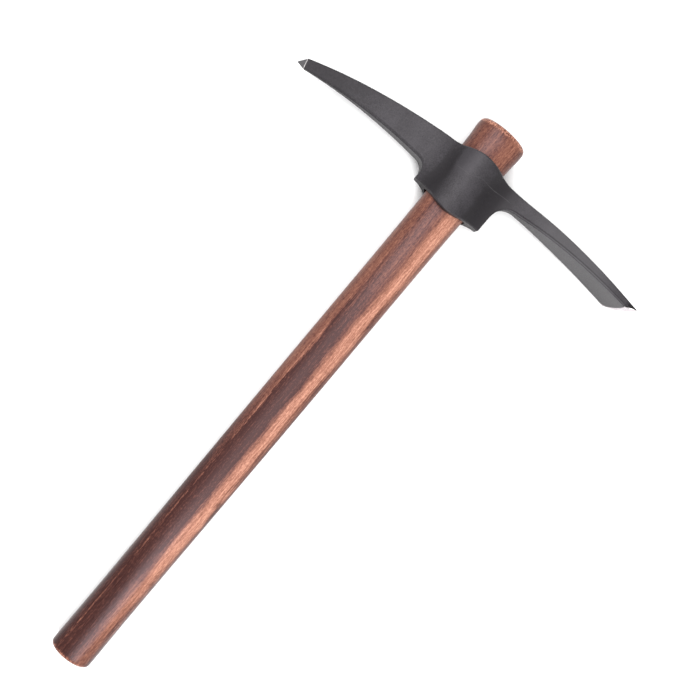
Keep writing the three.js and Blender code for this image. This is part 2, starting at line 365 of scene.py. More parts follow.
def bezier(controls, steps, first=0, last=1):
    points = []
    for i in range(steps + 1):
        t = first + (last - first) * i / steps
        level = [Vector(control) for control in controls]
        while len(level) > 1:
            level = [a.lerp(b, t) for a, b in zip(level, level[1:])]
        points.append(level[0])
    return points


def catmull_rom(points, steps):
    """A smooth curve through the points, with so many steps between each two."""
    padded = [points[0], *points, points[-1]]
    result = [points[0]]
    for before, a, b, after in zip(padded, padded[1:], padded[2:], padded[3:]):
        lead, trail = (b - before) / 2, (after - a) / 2
        for i in range(1, steps + 1):
            t = i / steps
            cubic = (2 * a - 2 * b + lead + trail) * t ** 3
            square = (-3 * a + 3 * b - 2 * lead - trail) * t ** 2
            result.append(cubic + square + lead * t + a)
    return result


def height_at(profile, reach):
    """Height of a profile, a list of points in rising order of reach, at one reach."""
    i = min(max(bisect_left(profile, reach, key=lambda point: point.x), 1), len(profile) - 1)
    a, b = profile[i - 1], profile[i]
    return a.y + (b.y - a.y) * (reach - a.x) / (b.x - a.x)


def mesh_object(name, bm):
    mesh = bpy.data.meshes.new(name)
    bm.to_mesh(mesh)
    bm.free()
    obj = bpy.data.objects.new(name, mesh)
    bpy.context.scene.collection.objects.link(obj)
    return obj


# Half the head in plan: lists of reach against half thickness
def cheek_plan():
    flank = math.radians(FLANK_DEGREES)
    arc = [flank * i / PLAN_STEPS for i in range(PLAN_STEPS + 1)]
    return [Vector((math.sin(a), math.cos(a))) * COLLAR_HALF_THICKNESS for a in arc]


def lug_plan():
    foot = (FLANK_FOOT_REACH, FLANK_FOOT_HALF_THICKNESS)
    lug = (LUG_REACH, LUG_HALF_THICKNESS)
    return cheek_plan() + bezier([cheek_plan()[-1], foot, lug], PLAN_STEPS)[1:]


def pick_plan():
    foot = (FLANK_FOOT_REACH, PICK_ROOT_HALF_THICKNESS)
    root = (PICK_ROOT_REACH, PICK_ROOT_HALF_THICKNESS)
    brow = Vector((PICK_BROW_REACH, PICK_POINT_HALF_THICKNESS))
    return cheek_plan() + bezier([cheek_plan()[-1], foot, root], PLAN_STEPS)[1:] + [brow]


def softened(plan, span):
    """The same plan at even steps, with each point averaged over a short span to either side."""
    count = round(plan[-1].x / span * CORNER_STEPS)
    reaches = [plan[-1].x * i / count for i in range(count + 1)]
    heights = [height_at(plan, reach) for reach in reaches]
    result = []
    for i, reach in enumerate(reaches):
        near = min(i, count - i, CORNER_STEPS)
        window = heights[i - near:i + near + 1]
        result.append(Vector((reach, sum(window) / len(window))))
    return result


def adze_plan():
    controls = [
        (LUG_REACH, LUG_HALF_THICKNESS),
        (FLARE_LEAD_REACH, FLARE_LEAD_HALF_WIDTH),
        (FLARE_TURN_REACH, FLARE_TURN_HALF_WIDTH),
        (ADZE_CORNER_REACH, ADZE_HALF_WIDTH),
    ]
    return softened(lug_plan() + bezier(controls, PLAN_STEPS)[1:], FLARE_SOFTENING)


LUG_PLAN = lug_plan()
PICK_PLAN = pick_plan()
ADZE_PLAN = adze_plan()


def corner_cut(reach):
    """How much the adze's rounded corner takes off its half width."""
    run = min(reach - ADZE_CORNER_REACH + ADZE_CORNER_RADIUS, ADZE_CORNER_RADIUS)
    return ADZE_CORNER_RADIUS - math.sqrt(ADZE_CORNER_RADIUS ** 2 - run ** 2) if run > 0 else 0


# The line from the pick's heel to its brow, where its four ground facets start
HEEL = Vector((PICK_HEEL_REACH, PICK_HEEL_HEIGHT))
BROW = Vector((PICK_BROW_REACH, PICK_BROW_HEIGHT))
TIP = Vector((PICK_REACH, PICK_TIP_HEIGHT))
TIP_RISE = Vector((0, TIP_HALF_HEIGHT))
TO_TIP = Vector((BROW.y - HEEL.y, HEEL.x - BROW.x)).normalized()


def tip_run(point):
    """How far a point lies beyond that line."""
    return max((point - HEEL).dot(TO_TIP), UNGROUND)


def half_thickness(reach, height):
    """Half the head's thickness at a place on its side. The lugs run up into the thicker pick."""
    if reach <= 0:
        return height_at(ADZE_PLAN, -reach) - corner_cut(-reach)
    lug = LUG_HALF_THICKNESS if reach > LUG_REACH else height_at(LUG_PLAN, reach)
    rise = (height - PICK_BLEND_FOOT) / PICK_BLEND_HEIGHT
    run = max(reach - LUG_REACH, 0) / PICK_FILLET_LENGTH
    full = lug + (height_at(PICK_PLAN, reach) - lug) * smooth(rise + run)
    share = max(tip_run(Vector((reach, height))), 0) / tip_run(TIP)
    return full * (1 - min(share, 1) * (1 - TIP_THICKNESS_SHARE))


# The eye's half widths and half thicknesses, at its foot and at its top
def eye_sizes():
    share = (NECK_DROP - COLLAR_FOOT_DROP) / (SEAT_STATION - NECK_STATION)
    foot_width = NECK_WIDTH + (SEAT_WIDTH - NECK_WIDTH) * share + FOOT_CLEARANCE * 2
    top = Vector((SEAT_WIDTH, SEAT_WIDTH * FLATNESS)) / 2 + Vector((FIT_CLEARANCE, FIT_CLEARANCE))
    return top * (foot_width / 2 / top.x), top


EYE_FOOT, EYE_TOP = eye_sizes()


# The shape of an edge: points from the side face to the wall, by how far out and how far down each lies.
# The first point lies on the side face itself and holds its smoothness up to the edge
def round_edge(radius):
    turns = [math.pi / 2 * i / ARC_STEPS for i in range(ARC_STEPS + 1)]
    arc = [Vector((math.sin(turn), 1 - math.cos(turn))) * radius for turn in turns]
    return [Vector((-CREASE_SUPPORT, 0))] + arc


def bevelled_edge(width, depth, shares):
    return [Vector((-CREASE_SUPPORT, 0))] + [Vector((out * width, down * depth)) for out, down in shares]


TOP_EDGE = round_edge(TOP_ROUNDING)
RIM_EDGE = round_edge(RIM_ROUNDING)
LUG_EDGE = round_edge(LUG_ROUNDING)
PICK_EDGE = bevelled_edge(PICK_BEVEL, PICK_BEVEL_DEPTH, PICK_BEVEL_SHARES)
ADZE_EDGE = bevelled_edge(ADZE_BEVEL, ADZE_BEVEL_DEPTH, ADZE_BEVEL_SHARES)


# The head's outline from its side, as stations of reach and height in one closed loop: the pick's point,
# the foot of the head, the adze's edge and back over the top. Each has its edge and where it meets the eye
class Station:
    def __init__(self, point, edge, angle=None):
        self.point = Vector(point)
        self.edge = edge
        self.angle = angle


def collar_rim(lug_reach, lug_height, peak_height):
    """The collar's rim, from one of its lugs to its peak."""
    shoulder = (lug_reach * LUG_SHOULDER_SHARE, lug_height)
    peak = (lug_reach * PEAK_SHOULDER_SHARE, peak_height)
    return bezier([(lug_reach, lug_height), shoulder, peak, (0, peak_height)], PLAN_STEPS)


def collar_profile(pick_reach, pick_height, adze_height, peak_height):
    adze_side = collar_rim(-pick_reach, adze_height, peak_height)
    return adze_side + collar_rim(pick_reach, pick_height, peak_height)[::-1][1:]


FOOT_REACH = LUG_REACH - LUG_CORNER_RADIUS
FOOT_PROFILE = collar_profile(FOOT_REACH, 0, 0, -COLLAR_FOOT_DROP)
TOP_PROFILE = collar_profile(LUG_REACH, PICK_TOP_HEIGHT, ADZE_TOP_HEIGHT, COLLAR_TOP_HEIGHT)


def collar_stations(profile, reach, eye, sign):
    """Stations over the collar, from its pick side to its adze side for sign 1, and back for sign -1."""
    mouth = eye.x + MOUTH_ROUNDING
    outer = [reach + (mouth - reach) * i / RIM_STEPS for i in range(RIM_STEPS)]
    before = [Station((sign * r, height_at(profile, sign * r)), RIM_EDGE) for r in outer]
    over_eye = []
    for i in range(EYE_STEPS + 1):
        angle = sign * math.pi * (1 / 2 - i / EYE_STEPS)
        place = mouth * math.sin(angle)
        over_eye.append(Station((place, height_at(profile, place)), RIM_EDGE, angle))
    after = [Station((-sign * r, height_at(profile, -sign * r)), RIM_EDGE) for r in reversed(outer)]
    return before + over_eye + after


def fading(points, start, end):
    """Stations along the points, with the edge going evenly from the shape start to the shape end."""
    stations = []
    for i, point in enumerate(points):
        share = i / (len(points) - 1)
        stations.append(Station(point, [a.lerp(b, share) for a, b in zip(start, end)]))
    return stations


def eased(start, end, steps):
    """Points from start to end, crowded towards the end."""
    a, b = Vector(start), Vector(end)
    return [a.lerp(b, 1 - (1 - i / steps) ** 2) for i in range(steps + 1)]


def foot_outline():
    pick_bend = (PICK_REACH * PICK_BEND_SHARE, PICK_BELLY_RISE)
    adze_bend = (-ADZE_CORNER_REACH * ADZE_BEND_SHARE, ADZE_ARCH_HEIGHT)
    pick_web = (LUG_REACH + PICK_FILLET_LENGTH, PICK_FOOT_HEIGHT)
    pick_wall = (LUG_REACH, PICK_FOOT_HEIGHT - PICK_FILLET_HEIGHT)
    adze_web = (-LUG_REACH - ADZE_FILLET_LENGTH, ADZE_FOOT_HEIGHT)
    adze_wall = (-LUG_REACH, ADZE_FOOT_HEIGHT - ADZE_FILLET_HEIGHT)
    bevel = (-ADZE_BEVEL_REACH, ADZE_BEVEL_HEIGHT)
    edge = (-ADZE_CORNER_REACH, ADZE_EDGE_HEIGHT)
    corner = LUG_CORNER_RADIUS
    lug_corner = bezier([(LUG_REACH, corner), (LUG_REACH, 0), (FOOT_REACH, 0)], CORNER_STEPS)
    pick_fillet = bezier([pick_web, (LUG_REACH, PICK_FOOT_HEIGHT), pick_wall], FILLET_STEPS)
    adze_fillet = bezier([adze_wall, (-LUG_REACH, ADZE_FOOT_HEIGHT), adze_web], FILLET_STEPS)
    stations = fading(bezier([TIP - TIP_RISE, HEEL], FACET_STEPS), PICK_EDGE, PICK_EDGE)
    stations += fading(bezier([HEEL, pick_bend, pick_web], ARM_STEPS)[1:], PICK_EDGE, PICK_EDGE)
    stations += fading(pick_fillet[1:], PICK_EDGE, LUG_EDGE)
    stations += fading(lug_corner[:-1], LUG_EDGE, LUG_EDGE)
    stations += collar_stations(FOOT_PROFILE, FOOT_REACH, EYE_FOOT, 1)
    stations += fading([Vector((-p.x, p.y)) for p in lug_corner[-2::-1]], LUG_EDGE, LUG_EDGE)
    stations += fading(bezier([(-LUG_REACH, corner), adze_wall], CORNER_STEPS)[1:], LUG_EDGE, LUG_EDGE)
    stations += fading(adze_fillet[1:], LUG_EDGE, ADZE_EDGE)
    stations += fading(bezier([adze_web, adze_bend, bevel], ARM_STEPS)[1:], ADZE_EDGE, ADZE_EDGE)
    stations += fading(eased(bevel, edge, BEVEL_STEPS)[1:], ADZE_EDGE, ADZE_EDGE)
    return stations


def top_outline():
    edge = (-ADZE_CORNER_REACH, ADZE_EDGE_HEIGHT + ADZE_EDGE_LAND)
    adze_bend = (-ADZE_CORNER_REACH * ADZE_BEND_SHARE, ADZE_TOP_HEIGHT)
    pick_bend = (PICK_REACH * PICK_BEND_SHARE, PICK_BACK_RISE)
    adze_root = (-LUG_REACH, ADZE_TOP_HEIGHT)
    pick_root = (LUG_REACH, PICK_TOP_HEIGHT)
    adze_back = bezier([adze_root, adze_bend, edge], PLAN_STEPS)[::-1]
    inner_back = [point for point in adze_back if point.x > -ADZE_BEVEL_REACH]
    ends = eased((-ADZE_BEVEL_REACH, 0), (-ADZE_CORNER_REACH, 0), BEVEL_STEPS)[::-1]
    near_edge = [Vector((point.x, height_at(adze_back, point.x))) for point in ends]
    stations = fading(near_edge, TOP_EDGE, TOP_EDGE)
    stations += fading(inner_back[:-1], TOP_EDGE, TOP_EDGE)
    stations += collar_stations(TOP_PROFILE, LUG_REACH, EYE_TOP, -1)
    stations += fading(bezier([pick_root, pick_bend, BROW], ARM_STEPS)[1:], TOP_EDGE, TOP_EDGE)
    stations += fading(bezier([BROW, TIP + TIP_RISE], FACET_STEPS)[1:], TOP_EDGE, TOP_EDGE)
    return stations


def limit_edges(foot, top, sign, web):
    """Keeps an arm's edges within shares of its height and half thickness, to nothing at its end."""
    lines = []
    for side in (foot, top):
        points = [Vector((sign * s.point.x, s.point.y)) for s in side if sign * s.point.x >= web]
        lines.append(sorted(points, key=lambda point: point.x))
    end = lines[0][-1].x
    for station in foot + top:
        reach = sign * station.point.x
        if reach >= web:
            height = max(height_at(lines[1], reach) - height_at(lines[0], reach), 0)
            half = half_thickness(*station.point)
            width = min(height * HEIGHT_LIMIT_SHARE, (end - reach) * END_LIMIT_SHARE)
            scale = min(1, width / station.edge[-1].x, half * THICKNESS_LIMIT_SHARE / station.edge[-1].y)
            station.edge = [offset * scale for offset in station.edge]


def head_outline():
    foot, top = foot_outline(), top_outline()
    limit_edges(foot, top, 1, LUG_REACH + PICK_FILLET_LENGTH)
    limit_edges(foot, top, -1, LUG_REACH + ADZE_FILLET_LENGTH)
    stations = foot + top
    for before, station, after in zip(stations[-1:] + stations, stations, stations[1:] + stations[:1]):
        travel = (after.point - before.point).normalized()
        station.outward = Vector((-travel.y, travel.x))
        station.inset = station.point - station.outward * station.edge[-1].x
        station.grind = bevel_run(station.point) if station in foot else UNGROUND
    return stations


def bevel_run(point):
    """How far a point of the foot outline lies beyond the start of the adze's bevel."""
    return max(-point.x - ADZE_BEVEL_REACH, UNGROUND)


# The outside of the head is made for one half, with z above zero, and its mirror image closes it
class Skin:
    def __init__(self):
        self.bm = bmesh.new()
        self.grind = self.bm.verts.layers.float.new("grind")
        self.tip = self.bm.verts.layers.float.new("tip")
        # Paler along the middle of each edge's rounding: partly wear, partly a painted highlight
        self.burnish_and_highlight = self.bm.verts.layers.float.new("burnish_and_highlight")

    def vert(self, reach, height, thickness, grind=UNGROUND, burnish_and_highlight=0):
        place = (HEAD_STATION + height, bowed(reach, height, thickness), thickness)
        vert = self.bm.verts.new(place)
        vert[self.grind] = grind * MILLIMETRES
        vert[self.tip] = tip_run(Vector((reach, height))) * MILLIMETRES
        vert[self.burnish_and_highlight] = burnish_and_highlight
        return vert

    def span(self, rows):
        """Faces between neighbouring rows of points."""
        for row, after in zip(rows, rows[1:]):
            for corners in zip(row, row[1:], after[1:], after):
                self.bm.faces.new(corners)


def bowed(reach, height, thickness):
    """The reach of a point once the adze's end is bowed."""
    run = (-reach - ADZE_BOW_START) / (ADZE_CORNER_REACH - ADZE_BOW_START)
    if run <= 0:
        return reach
    share = thickness / half_thickness(reach, height)
    return reach - ADZE_EDGE_BOW * smooth(run) * (1 - share ** 2)


def eye_edge(station):
    """How far from the middle plane the surface round the outline stops: at the eye, or at the plane."""
    if station.angle is None:
        return 0
    eye = EYE_FOOT if station.point.y < COLLAR_TOP_HEIGHT / 2 else EYE_TOP
    return (eye.y + MOUTH_ROUNDING) * math.cos(station.angle)


def outline_row(skin, station):
    """Points from the side face over the edge, then in to the middle plane or the eye."""
    row = []
    for k, offset in enumerate(station.edge):
        point = station.inset + station.outward * offset.x
        thickness = half_thickness(*point) - offset.y
        share = max(k - 1, 0) / ARC_STEPS
        grind = UNGROUND + (station.grind + CORNER_GRIND - UNGROUND) * share
        row.append(skin.vert(point.x, point.y, thickness, grind, math.sin(math.pi * share)))
    half = half_thickness(*station.point)
    wall = half - station.edge[-1].y
    inner = eye_edge(station)
    for k in range(1, STRIP_STEPS + 1):
        thickness = wall + (inner - wall) * k / STRIP_STEPS
        grind = station.grind + CORNER_GRIND * (thickness / half) ** CORNER_GRIND_POWER
        row.append(skin.vert(station.point.x, station.point.y, thickness, grind))
    return row


def grid_columns(ring):
    """Points inside the ring, in columns at even reaches, clear of the ring itself."""
    edges = list(zip(ring, ring[1:] + ring[:1]))
    first, last = min(p.x for p in ring), max(p.x for p in ring)
    count = int((last - first) / FACE_SPACING)
    reaches = [first + (last - first) * (i + 0.5) / count for i in range(count)]
    points = []
    for reach in reaches:
        crossed = [(a, b) for a, b in edges if (a.x <= reach) != (b.x <= reach)]
        heights = sorted(a.y + (b.y - a.y) * (reach - a.x) / (b.x - a.x) for a, b in crossed)
        for low, high in zip(heights[::2], heights[1::2]):
            steps = int((high - low) / FACE_SPACING)
            points += [Vector((reach, low + (high - low) * i / steps)) for i in range(1, steps)]
    return [point for point in points if abs((point - HEEL).dot(TO_TIP)) > FACE_SPACING / 2] + crease()


def crease():
    """Points along the line where the pick's side facet starts, and close by on both its sides."""
    inner = [HEEL.lerp(BROW, i / CREASE_STEPS) for i in range(2, CREASE_STEPS)]
    return [point + TO_TIP * CREASE_SUPPORT * side for side in (-1, 0, 1) for point in inner]


def side_face(skin, stations):
    ring = [station.inset + station.outward * station.edge[0].x for station in stations]
    borders = [(i, (i + 1) % len(ring)) for i in range(len(ring))]
    inside = delaunay_2d_cdt(ring + grid_columns(ring), borders, [], 1, CDT_TOLERANCE)
    verts = [skin.vert(point.x, point.y, half_thickness(*point)) for point in inside[0]]
    faces = [skin.bm.faces.new([verts[i] for i in corners]) for corners in inside[2]]
    bmesh.ops.join_triangles(
        skin.bm, faces=faces, angle_face_threshold=FACE_JOIN_ANGLE, angle_shape_threshold=SHAPE_JOIN_ANGLE,
    )


def eye_row(skin, foot, top):
    """Points up the wall of the eye at one angle, over its rounded mouths."""
    row = []
    turns = [math.pi / 2 * k / ARC_STEPS for k in range(ARC_STEPS + 1)]
    for station, eye, sign, steps in ((foot, EYE_FOOT, 1, turns), (top, EYE_TOP, -1, turns[::-1])):
        for turn in steps:
            size = eye + Vector((MOUTH_ROUNDING, MOUTH_ROUNDING)) * (1 - math.sin(turn))
            height = station.point.y + sign * MOUTH_ROUNDING * (1 - math.cos(turn))
            row.append((size.x * math.sin(foot.angle), height, size.y * math.cos(foot.angle)))
    start, end = Vector(row[ARC_STEPS]), Vector(row[ARC_STEPS + 1])
    wall = [start.lerp(end, i / BORE_STEPS) for i in range(1, BORE_STEPS)]
    row[ARC_STEPS + 1:ARC_STEPS + 1] = wall
    return [skin.vert(*point) for point in row]


def forged_head():
    skin = Skin()
    stations = head_outline()
    rows = [outline_row(skin, station) for station in stations]
    skin.span(rows + rows[:1])
    side_face(skin, stations)
    around = [station for station in stations if station.angle is not None]
    foot, top = around[:EYE_STEPS + 1], around[EYE_STEPS + 1:]
    skin.span([eye_row(skin, a, b) for a, b in zip(foot, reversed(top))])
    bm = skin.bm
    bmesh.ops.remove_doubles(bm, verts=bm.verts, dist=MERGE_DISTANCE)
    bmesh.ops.mirror(bm, geom=bm.verts[:] + bm.edges[:] + bm.faces[:], axis="Z", merge_dist=MERGE_DISTANCE)
    bmesh.ops.remove_doubles(bm, verts=bm.verts, dist=MERGE_DISTANCE)
    bmesh.ops.dissolve_degenerate(bm, edges=bm.edges, dist=MERGE_DISTANCE)
    bmesh.ops.delete(bm, geom=[vert for vert in bm.verts if not vert.link_faces], context="VERTS")
    return finished(mesh_object("forged_head", bm))


def finished(obj):
    """Sets a piece in the frame's place, with its faces pointing outwards, smooth but for its crisp lines."""
    mesh = obj.data
    mesh.transform(TOOL)
    bm = bmesh.new()
    bm.from_mesh(mesh)
    bmesh.ops.recalc_face_normals(bm, faces=bm.faces)
    bm.to_mesh(mesh)
    bm.free()
    mesh.shade_smooth()
    mesh.set_sharp_from_angle(angle=math.radians(CRISP_DEGREES))
    return obj


# The handle's half outline: distance from the butt and radius, from the axis to the axis
def handle_outline():
    half_butt, half_top = BUTT_WIDTH / 2, FLARE_WIDTH / 2
    rim = HANDLE_LENGTH - END_CROWN
    knots = [
        (END_CROWN + BUTT_CORNER_RADIUS, half_butt),
        (HANDLE_LENGTH * WAIST_SHARE, WAIST_WIDTH / 2),
        (HANDLE_LENGTH * MIDDLE_SHARE, MIDDLE_WIDTH / 2),
        (NECK_STATION, NECK_WIDTH / 2),
        (SEAT_STATION, SEAT_WIDTH / 2),
        (HANDLE_LENGTH - FLARE_DROP, half_top),
        (rim - TOP_CORNER_RADIUS, half_top),
    ]
    butt_end = bezier([(0, 0), (0, END_FLAT_RADIUS)], END_STEPS)
    butt_end += bezier([(0, END_FLAT_RADIUS), (END_CROWN, half_butt - BUTT_CORNER_RADIUS)], END_STEPS)[1:]
    butt_corner = [(END_CROWN, half_butt - BUTT_CORNER_RADIUS), (END_CROWN, half_butt), knots[0]]
    top_corner = [knots[-1], (rim, half_top), (rim, half_top - TOP_CORNER_RADIUS)]
    top_end = bezier([(rim, half_top - TOP_CORNER_RADIUS), (HANDLE_LENGTH, END_FLAT_RADIUS)], END_STEPS)[1:]
    top_end += bezier([(HANDLE_LENGTH, END_FLAT_RADIUS), (HANDLE_LENGTH, 0)], END_STEPS)[1:]
    butt_curve = bezier(butt_corner, END_CORNER_STEPS)[1:]
    sides = catmull_rom([Vector(knot) for knot in knots], SPAN_STEPS)[1:]
    top_curve = bezier(top_corner, END_CORNER_STEPS)[1:]
    return butt_end + butt_curve + sides + top_curve + top_end


# A node tree, for the handle's turning, a material or the light of the room
class Tree:
    def __init__(self, tree):
        self.tree = tree

    def add(self, kind, inputs=None, **settings):
        """A node, with its settings, and with a value or another node's output on each named input."""
        node = self.tree.nodes.new(kind)
        for name, value in settings.items():
            setattr(node, name, value)
        for socket, value in (inputs or {}).items():
            if isinstance(value, bpy.types.NodeSocket):
                self.tree.links.new(value, node.inputs[socket])
            else:
                node.inputs[socket].default_value = value
        return node.outputs[0] if node.outputs else node

    def math(self, operation, *values):
        return self.add("ShaderNodeMath", dict(enumerate(values)), operation=operation)

    def chain(self, operation, first, *others):
        """The operation on the first two values, then on its result and the next one, and so on."""
        for other in others:
            first = self.math(operation, first, other)
        return first

    def sum(self, *values):
        return self.chain("ADD", *values)

    def product(self, *values):
        return self.chain("MULTIPLY", *values)

    def largest(self, *values):
        return self.chain("MAXIMUM", *values)


def oval_turning():
    """A node tree for turning an outline round the x axis into an oval stick, over a grid of size one."""
    tree = bpy.data.node_groups.new("oval turning", "GeometryNodeTree")
    sockets = (
        ("Outline", "NodeSocketGeometry"),
        ("Sides", "NodeSocketInt"),
        ("Flatness", "NodeSocketFloat"),
        ("Finish", "NodeSocketMaterial"),
    )
    for name, kind in sockets:
        tree.interface.new_socket(name, in_out="INPUT", socket_type=kind)
    tree.interface.new_socket("Stick", in_out="OUTPUT", socket_type="NodeSocketGeometry")
    t = Tree(tree)
    given = tree.nodes.new("NodeGroupInput").outputs
    points = t.add("GeometryNodeAttributeDomainSize", {"Geometry": given["Outline"]}, component="MESH")
    around = t.sum(given["Sides"], 1)
    sizes = {"Size X": 1, "Size Y": 1, "Vertices X": points, "Vertices Y": around}
    sheet = t.add("GeometryNodeMeshGrid", sizes)
    position = t.add("GeometryNodeInputPosition")
    place = t.add("ShaderNodeSeparateXYZ", {0: position}).node.outputs
    number = t.math("ROUND", t.product(t.sum(place["X"], 1 / 2), t.math("SUBTRACT", points, 1)))
    outline = t.add(
        "GeometryNodeSampleIndex",
        {"Geometry": given["Outline"], "Value": position, "Index": number},
        data_type="FLOAT_VECTOR",
    )
    section = t.add("ShaderNodeSeparateXYZ", {0: outline}).node.outputs
    angle = t.product(t.sum(place["Y"], 1 / 2), math.tau)
    wide = t.product(section["Y"], t.math("COSINE", angle))
    thick = t.product(section["Y"], t.math("SINE", angle), given["Flatness"])
    turned = t.add("ShaderNodeCombineXYZ", {"X": section["X"], "Y": wide, "Z": thick})
    stick = t.add("GeometryNodeSetPosition", {"Geometry": sheet, "Position": turned})
    closed = t.add("GeometryNodeMergeByDistance", {"Geometry": stick, "Distance": MERGE_DISTANCE})
    smooth_stick = t.add("GeometryNodeSetShadeSmooth", {"Geometry": closed})
    real = t.add("GeometryNodeRealizeInstances", {"Geometry": smooth_stick})
    coloured = t.add("GeometryNodeSetMaterial", {"Geometry": real, "Material": given["Finish"]})
    t.add("NodeGroupOutput", {0: coloured})
    return tree


def turned_handle(finish):
    points = handle_outline()
    bm = bmesh.new()
    verts = [bm.verts.new((point.x, point.y, 0)) for point in points]
    for pair in zip(verts, verts[1:]):
        bm.edges.new(pair)
    outline = mesh_object("handle_outline", bm)
    modifier = outline.modifiers.new("turning", "NODES")
    modifier.node_group = oval_turning()
    values = {"Sides": HANDLE_SIDES, "Flatness": FLATNESS, "Finish": finish}
    for item in modifier.node_group.interface.items_tree:
        if item.name in values:
            modifier[item.identifier] = values[item.name]
    depsgraph = bpy.context.evaluated_depsgraph_get()
    mesh = bpy.data.meshes.new_from_object(outline.evaluated_get(depsgraph))
    mesh.name = "hickory_handle"
    outline.modifiers.remove(modifier)
    bpy.data.objects.remove(outline)
    handle = bpy.data.objects.new("hickory_handle", mesh)
    bpy.context.scene.collection.objects.link(handle)
    return finished(handle)


# A material made of nodes
class Finish(Tree):
    def __init__(self, name):
        self.material = bpy.data.materials.new(name)
        self.material.use_nodes = True
        super().__init__(self.material.node_tree)
        self.shader = self.tree.nodes["Principled BSDF"]

    def set(self, **values):
        for name, value in values.items():
            socket = self.shader.inputs[name.replace("_", " ")]
            if isinstance(value, bpy.types.NodeSocket):
                self.tree.links.new(value, socket)
            else:
                socket.default_value = value

    def ramp(self, share, low, high, start=0, end=1):
        """The share's run from low to high, as a smooth rise from start to end."""
        values = {"Value": share, "From Min": low, "From Max": high, "To Min": start, "To Max": end}
        return self.add("ShaderNodeMapRange", values, interpolation_type="SMOOTHSTEP")

    def between(self, share, low, high, fade):
        """One between low and high, fading to nothing outside them."""
        return self.product(self.ramp(share, low - fade, low), self.ramp(share, high + fade, high))

    def swing(self, noise, width):
        """The noise's swing about its middle, over so much in all."""
        return self.product(self.math("SUBTRACT", noise, 1 / 2), width)

    def mix(self, share, a, b, kind="RGBA"):
        first, second, result = MIX_SOCKETS[kind]
        values = {"Factor": share, first: a, second: b}
        return self.add("ShaderNodeMix", values, data_type=kind).node.outputs[result]

    def colours(self, share, stops):
        """A run of colours, each with the share that it stands at."""
        colour = self.add("ShaderNodeValToRGB", {0: share})
        ramp = colour.node.color_ramp
        ramp.elements.remove(ramp.elements[0])
        ramp.elements[0].position, ramp.elements[0].color = stops[0]
        for place, value in stops[1:]:
            ramp.elements.new(place).color = value
        return colour

    def attribute(self, name):
        return self.add("ShaderNodeAttribute", attribute_name=name).node.outputs["Fac"]

    def length(self, vector):
        return self.add("ShaderNodeVectorMath", {0: vector}, operation="LENGTH").node.outputs["Value"]

    def bump(self, height, millimetres, normal=None):
        values = {"Height": height, "Distance": millimetres / MILLIMETRES}
        if normal:
            values["Normal"] = normal
        return self.add("ShaderNodeBump", values)


# A finish of the tool, with its patterns laid out in millimetres along, across and through the tool
class ToolFinish(Finish):
    def __init__(self, name):
        super().__init__(name)
        centre, turn, _ = TOOL.decompose()
        self.place = self.add(
            "ShaderNodeMapping",
            {
                "Vector": self.add("ShaderNodeTexCoord").node.outputs["Object"],
                "Location": centre,
                "Rotation": turn.to_euler(),
                "Scale": [1 / MILLIMETRES] * 3,
            },
            vector_type="TEXTURE",
        )
        axes = self.add("ShaderNodeSeparateXYZ", {0: self.place}).node.outputs
        self.along, self.across, self.through = axes

    def noise(self, sizes, detail, roughness=0.5, distortion=0):
        """A pattern with grain of so many millimetres along each axis."""
        place = self.add("ShaderNodeMapping", {"Vector": self.place, "Scale": [1 / size for size in sizes]})
        values = {"Scale": 1, "Detail": detail, "Roughness": roughness, "Distortion": distortion}
        return self.add("ShaderNodeTexNoise", {"Vector": place, **values})

    def from_line(self, across=0, through=0, flatness=1):
        """The distance from a line along the tool, measured in an oval that is so flat."""
        values = {"Vector": self.place, "Location": (0, -across, -through), "Scale": (0, 1, 1 / flatness)}
        return self.length(self.add("ShaderNodeMapping", values))


# Parts of the steel's finish
def flash_line(f, cloud):
    """A fine seam over the cheek, where the forging's flash was trimmed. It steps up towards the adze."""
    step = f.ramp(f.across, *FLASH_STEP_RUN, *FLASH_STATIONS)
    line = f.sum(step, f.ramp(f.across, *FLASH_CLIMB_RUN, 0, FLASH_CLIMB))
    offset = f.math("ABSOLUTE", f.math("SUBTRACT", f.along, line))
    seam = f.product(f.ramp(offset, FLASH_HALF_WIDTH, 0), f.between(f.across, *FLASH_ENDS, FLASH_FADE))
    return f.product(seam, f.ramp(cloud, *FLASH_CLOUD_RUN), f.ramp(f.across, *FLASH_SIDE_RUN))


def ground_steel(f, speckle, beyond_point):
    """One on the adze's bevel, and less on the line where the pick's point was ground."""
    far_corner = f.ramp(f.through, *FAR_CORNER_SPAN, 0, FAR_CORNER_GRIND)
    beyond_bevel = f.sum(f.attribute("grind"), far_corner, f.product(speckle, GRIND_WANDER))
    line = f.between(beyond_point, *POINT_LINE, POINT_LINE_FADE)
    return f.largest(f.ramp(beyond_bevel, *GRIND_START_RUN), f.product(line, POINT_LINE_SHARE))


def dark_corner_flecks(f, speckle):
    """Darker flecks on the adze's near corner."""
    corner = f.product(f.ramp(f.across, *CORNER_REACH_RUN), f.ramp(f.through, *CORNER_WIDTH_RUN))
    return f.product(corner, f.ramp(speckle, *CORNER_SPECKLE_RUN))


